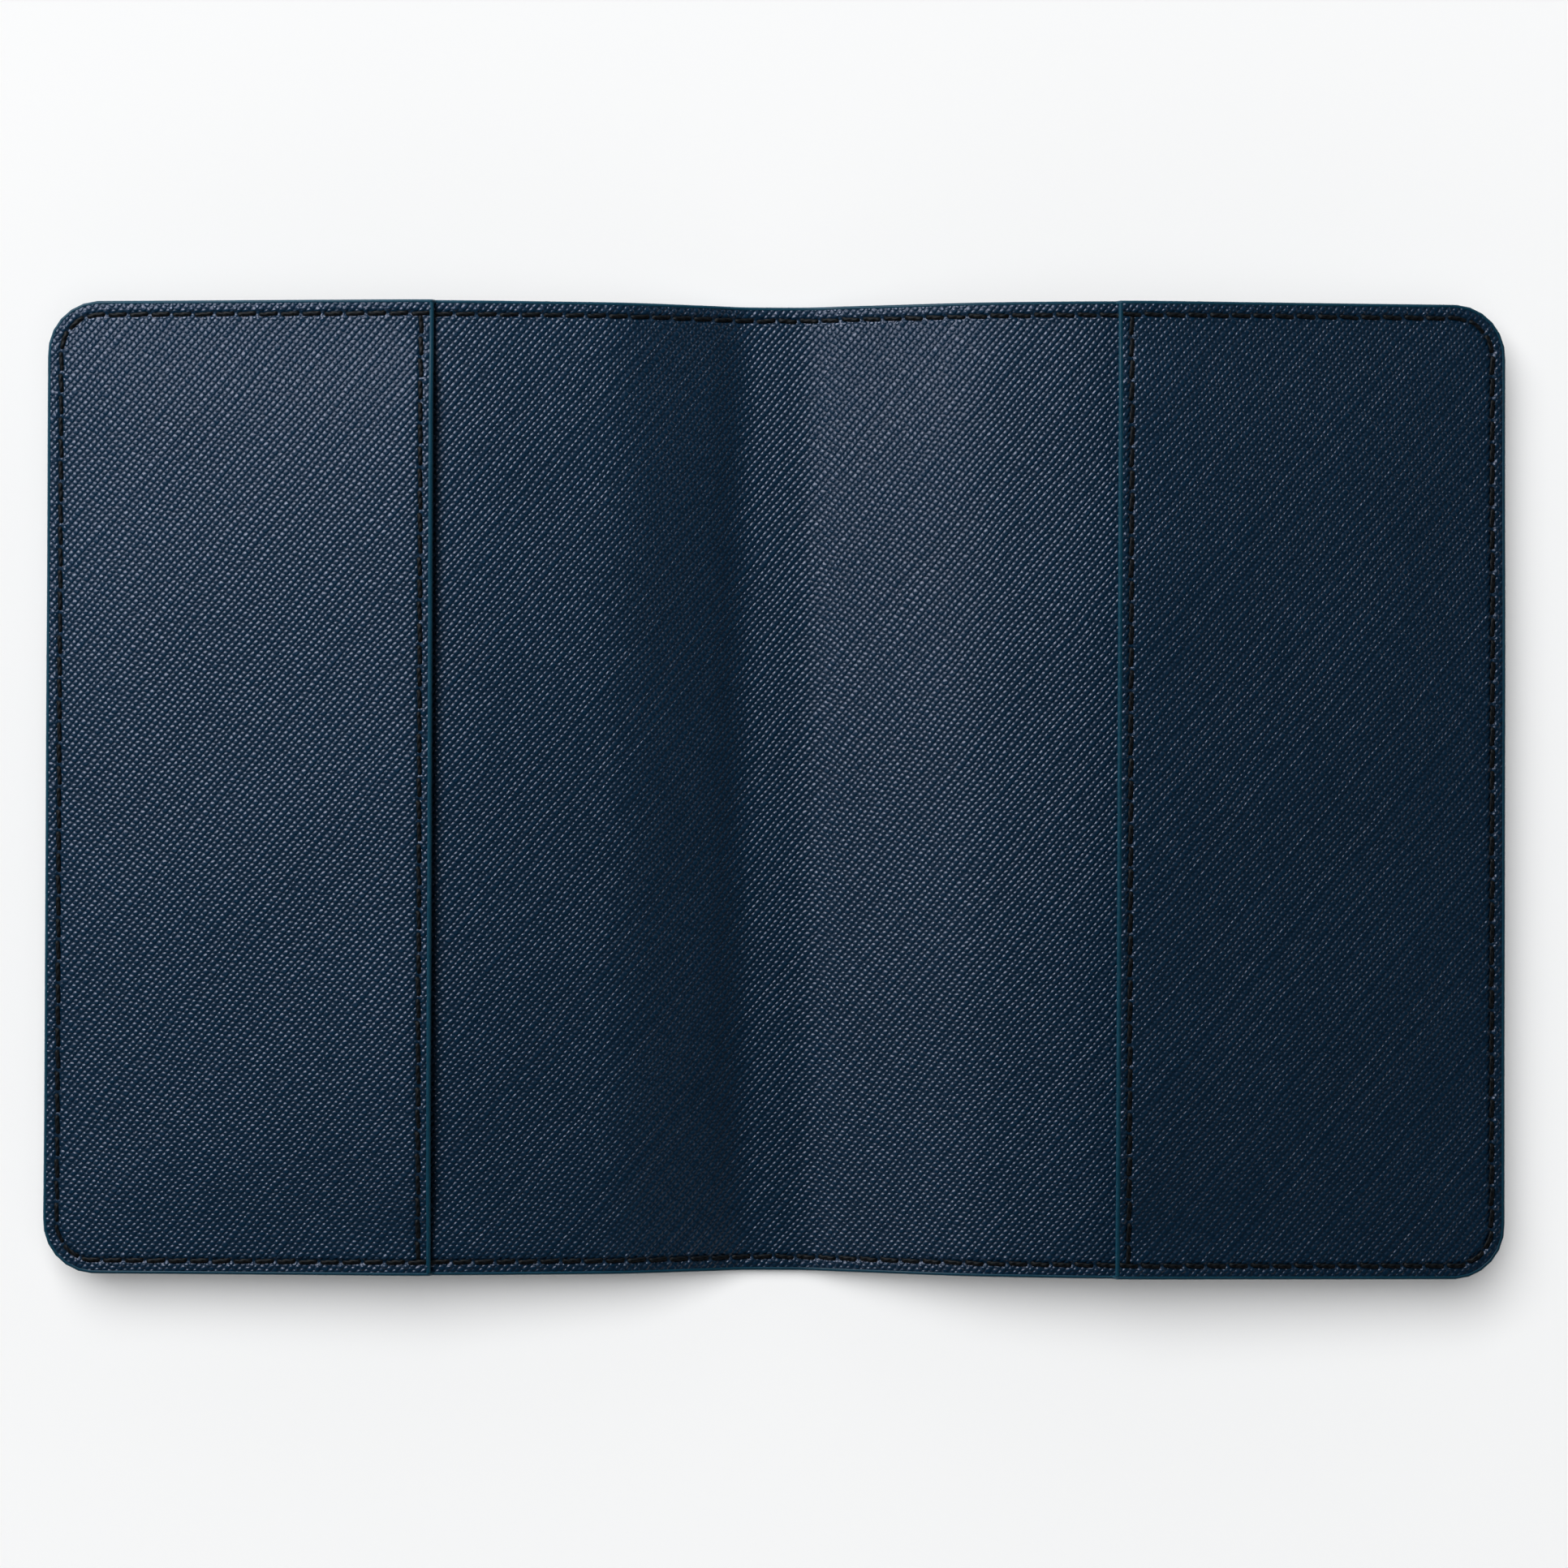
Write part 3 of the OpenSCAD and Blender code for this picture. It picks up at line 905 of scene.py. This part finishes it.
for side_name in SIDES:
    add_long_sheet("outer_cover", side_name, "cover_leather", cover_top, cover_bottom, True)
    add_long_sheet("lining", side_name, "lining_leather", lining_top, lining_bottom, False)
    add_stiffener(side_name)
    add_pocket(side_name)
    add_backing(side_name)
    add_painted_edges(side_name)
    add_threads(side_name, "needle_thread", "inner")
    add_threads(side_name, "bobbin_thread", "outer")

# ---------------------------------------------------------------- floor, light and camera

FLOOR_HALF = 3.0
FLOOR_COLOUR = (0.86, 0.865, 0.87)

# Each softbox as position, size, watts, and whether it lights the table alone or all but the table
SOFTBOXES = {
    "key": ((-0.29, 0.34, 0.35), (0.27, 0.30), 4.4, False),
    "table_key": ((-0.80, 1.45, 3.2), (3.0, 3.3), 152, True),
    "table_fill": ((0.3, -0.5, 2.8), (3.0, 3.0), 15, True),
}

# The studio's brightness at the horizon, overhead, from which height (as the sine of the
# elevation) it is as dark as overhead, and what the camera sees behind the floor
HORIZON, OVERHEAD, DARK_FROM, BACKDROP = 1.7, 0.02, 0.42, 0.9

CAMERA_PLACE = (0.00127, 0.0007, 0.6)
CAMERA_TURN = 0.2
CAMERA_LENS, CAMERA_SENSOR = 94.5, 36


def add_floor():
    mesh = bpy.data.meshes.new("floor")
    corners = [(-1, -1), (1, -1), (1, 1), (-1, 1)]
    mesh.from_pydata([(x * FLOOR_HALF, y * FLOOR_HALF, 0) for x, y in corners], [], [(0, 1, 2, 3)])
    obj = bpy.data.objects.new("floor", mesh)
    bpy.context.scene.collection.objects.link(obj)
    g = Graph("floor")
    g.set(Base_Color=shade(FLOOR_COLOUR), Roughness=0.9)
    mesh.materials.append(g.material)
    return obj


def add_softbox(name, position, size, power, on_table, table):
    """A rectangular lamp aimed at the holder, with the table linked in or out of its light."""
    light = bpy.data.lights.new(name, "AREA")
    light.shape = "RECTANGLE"
    light.size, light.size_y = size
    light.energy = power
    obj = bpy.data.objects.new(name, light)
    obj.location = position
    obj.rotation_euler = (-obj.location).to_track_quat("-Z", "Y").to_euler()
    reach = bpy.data.collections.new(name)
    reach.objects.link(table)
    reach.collection_objects[0].light_linking.link_state = "INCLUDE" if on_table else "EXCLUDE"
    obj.light_linking.receiver_collection = reach
    bpy.context.scene.collection.objects.link(obj)


def add_surroundings():
    """A dim studio: dark overhead, paler towards the horizon, plain pale where the camera sees it."""
    world = bpy.data.worlds.new("studio")
    bpy.context.scene.world = world
    world.use_nodes = True
    nodes, links = world.node_tree.nodes, world.node_tree.links
    back = nodes["Background"]
    direction = nodes.new("ShaderNodeTexCoord")
    split = nodes.new("ShaderNodeSeparateXYZ")
    ramp = nodes.new("ShaderNodeMapRange")
    seen = nodes.new("ShaderNodeLightPath")
    pick = nodes.new("ShaderNodeMix")
    links.new(direction.outputs["Generated"], split.inputs[0])
    links.new(split.outputs["Z"], ramp.inputs["Value"])
    ramp.inputs["From Min"].default_value = 0.0
    ramp.inputs["From Max"].default_value = DARK_FROM
    ramp.inputs["To Min"].default_value = HORIZON
    ramp.inputs["To Max"].default_value = OVERHEAD
    links.new(seen.outputs["Is Camera Ray"], pick.inputs[0])
    links.new(ramp.outputs["Result"], pick.inputs[2])
    pick.inputs[3].default_value = BACKDROP
    links.new(pick.outputs[0], back.inputs["Strength"])
    back.inputs["Color"].default_value = (1, 1, 1, 1)


def add_camera():
    """The camera, straight above the holder as in the photo."""
    data = bpy.data.cameras.new("camera")
    data.lens, data.sensor_width = CAMERA_LENS, CAMERA_SENSOR
    obj = bpy.data.objects.new("camera", data)
    obj.location = CAMERA_PLACE
    obj.rotation_euler = (0, 0, math.radians(CAMERA_TURN))
    bpy.context.scene.collection.objects.link(obj)
    bpy.context.scene.camera = obj


table = add_floor()
add_surroundings()
for name, softbox in SOFTBOXES.items():
    add_softbox(name, *softbox, table)
add_camera()
bpy.context.scene.view_settings.view_transform = "Standard"
